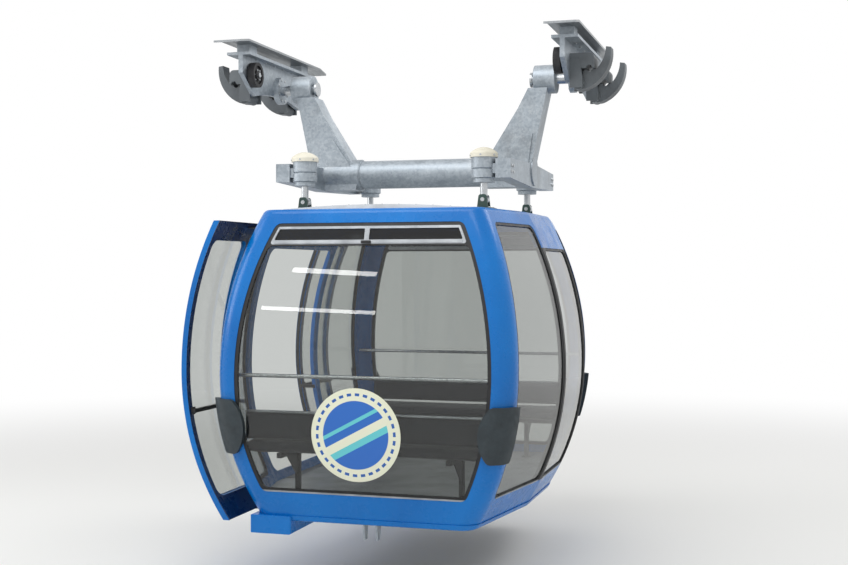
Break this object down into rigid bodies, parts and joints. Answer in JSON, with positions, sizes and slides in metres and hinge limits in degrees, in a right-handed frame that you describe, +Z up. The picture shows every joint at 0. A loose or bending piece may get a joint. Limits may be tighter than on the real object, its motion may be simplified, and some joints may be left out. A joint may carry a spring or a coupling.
{
  "type": "double-rope cable car cabin with hanger and grips",
  "caption": "Large gondola cabin with wide tinted windows, open sliding door leaves, bench seats, corner bumpers, a damped hanger and rope grips on each side.",
  "frame": {"origin": "on the axis of the rope on the door side, midway between its two grips", "axes": "+X from the door side across the cabin to the other rope, +Y along the ropes towards the rear, +Z up"},
  "size_m": [3.5496, 3.49, 4.158],
  "materials": {
    "blue_paint": "gloss",
    "tinted_glass": "clear",
    "dark_glass": "clear",
    "silver_trim": "satin",
    "floor_cover": "tread plate",
    "roof_white": "satin",
    "black_steel": "satin",
    "seat_cover": "matte",
    "steel_rail": "brushed",
    "pad_rubber": "matte",
    "galvanised": "galvanised",
    "cream_cap": "satin",
    "plate_aluminium": "worn",
    "seal_rubber": "matte",
    "machined_steel": "satin",
    "green_bracket": "satin",
    "wheel_rubber": "matte",
    "cast_steel": "painted"
  },
  "bodies": {
    "carriages": {"carriage_r": "galvanised", "carriage_l": "galvanised", "carriage_axles": "machined_steel", "carriage_jaws": "cast_steel", "friction_plate_r": "plate_aluminium", "friction_plate_l": "plate_aluminium"},
    "cabin": {"sill_frame": "blue_paint", "roof_rim": "blue_paint", "pillar_fl": "blue_paint", "pillar_fr": "blue_paint", "pillar_rl": "blue_paint", "pillar_rr": "blue_paint", "door_posts": "blue_paint", "mullions": "black_steel", "side_header": "blue_paint", "front_window": "tinted_glass", "rear_window": "tinted_glass", "side_panes_right": "tinted_glass", "side_panes_left": "tinted_glass", "vent_frames": "silver_trim", "vent_panes": "dark_glass", "door_leaf_front": "blue_paint", "door_glass_front": "tinted_glass", "door_leaf_rear": "blue_paint", "door_glass_rear": "tinted_glass", "floor_pan": "floor_cover", "roof_panel": "roof_white", "door_arms": "black_steel", "door_track": "blue_paint", "seat_front": "seat_cover", "seat_rear": "seat_cover", "seat_frames": "black_steel", "handrails": "steel_rail", "bumper_pads": "pad_rubber", "floor_guides": "galvanised", "cross_tube": "galvanised", "hanger_arm_r": "galvanised", "hanger_arm_l": "galvanised", "damper_housings": "galvanised", "damper_caps": "cream_cap", "damper_rods": "machined_steel", "damper_beams": "galvanised", "window_seals": "seal_rubber", "sill_trims": "silver_trim", "door_carriers": "black_steel", "damper_brackets": "green_bracket"},
    "wheel_fr": {"wheel_fr": "wheel_rubber"},
    "grip_fr": {"grip_fr": "cast_steel"},
    "wheel_fl": {"wheel_fl": "wheel_rubber"},
    "grip_fl": {"grip_fl": "cast_steel"},
    "wheel_rr": {"wheel_rr": "wheel_rubber"},
    "grip_rr": {"grip_rr": "cast_steel"},
    "wheel_rl": {"wheel_rl": "wheel_rubber"},
    "grip_rl": {"grip_rl": "cast_steel"}
  },
  "joints": [
    {"name": "cabin_swing", "type": "hinge", "parent": "carriages", "child": "cabin", "pos_m": [1.6, 0, 0], "axis": [1, 0, 0], "range_deg": [-35, 35]},
    {"name": "wheel_fr_spin", "type": "hinge", "parent": "carriages", "child": "wheel_fr", "pos_m": [2.958, -0.6, 0.06], "axis": [1, 0, 0], "continuous": true},
    {"name": "grip_fr_open", "type": "hinge", "parent": "carriages", "child": "grip_fr", "pos_m": [3.105, -0.42, -0.118], "axis": [0, 1, 0], "range_deg": [0, 14], "stiffness_Nm_per_rad": 900, "springref_deg": -17.19},
    {"name": "wheel_fl_spin", "type": "hinge", "parent": "carriages", "child": "wheel_fl", "pos_m": [0.242, -0.6, 0.06], "axis": [1, 0, 0], "continuous": true},
    {"name": "grip_fl_open", "type": "hinge", "parent": "carriages", "child": "grip_fl", "pos_m": [0.095, -0.42, -0.118], "axis": [0, -1, 0], "range_deg": [0, 14], "stiffness_Nm_per_rad": 900, "springref_deg": -17.19},
    {"name": "wheel_rr_spin", "type": "hinge", "parent": "carriages", "child": "wheel_rr", "pos_m": [2.958, 0.6, 0.06], "axis": [1, 0, 0], "continuous": true},
    {"name": "grip_rr_open", "type": "hinge", "parent": "carriages", "child": "grip_rr", "pos_m": [3.105, 0.42, -0.118], "axis": [0, 1, 0], "range_deg": [0, 14], "stiffness_Nm_per_rad": 900, "springref_deg": -17.19},
    {"name": "wheel_rl_spin", "type": "hinge", "parent": "carriages", "child": "wheel_rl", "pos_m": [0.242, 0.6, 0.06], "axis": [1, 0, 0], "continuous": true},
    {"name": "grip_rl_open", "type": "hinge", "parent": "carriages", "child": "grip_rl", "pos_m": [0.095, 0.42, -0.118], "axis": [0, -1, 0], "range_deg": [0, 14], "stiffness_Nm_per_rad": 900, "springref_deg": -17.19}
  ]
}
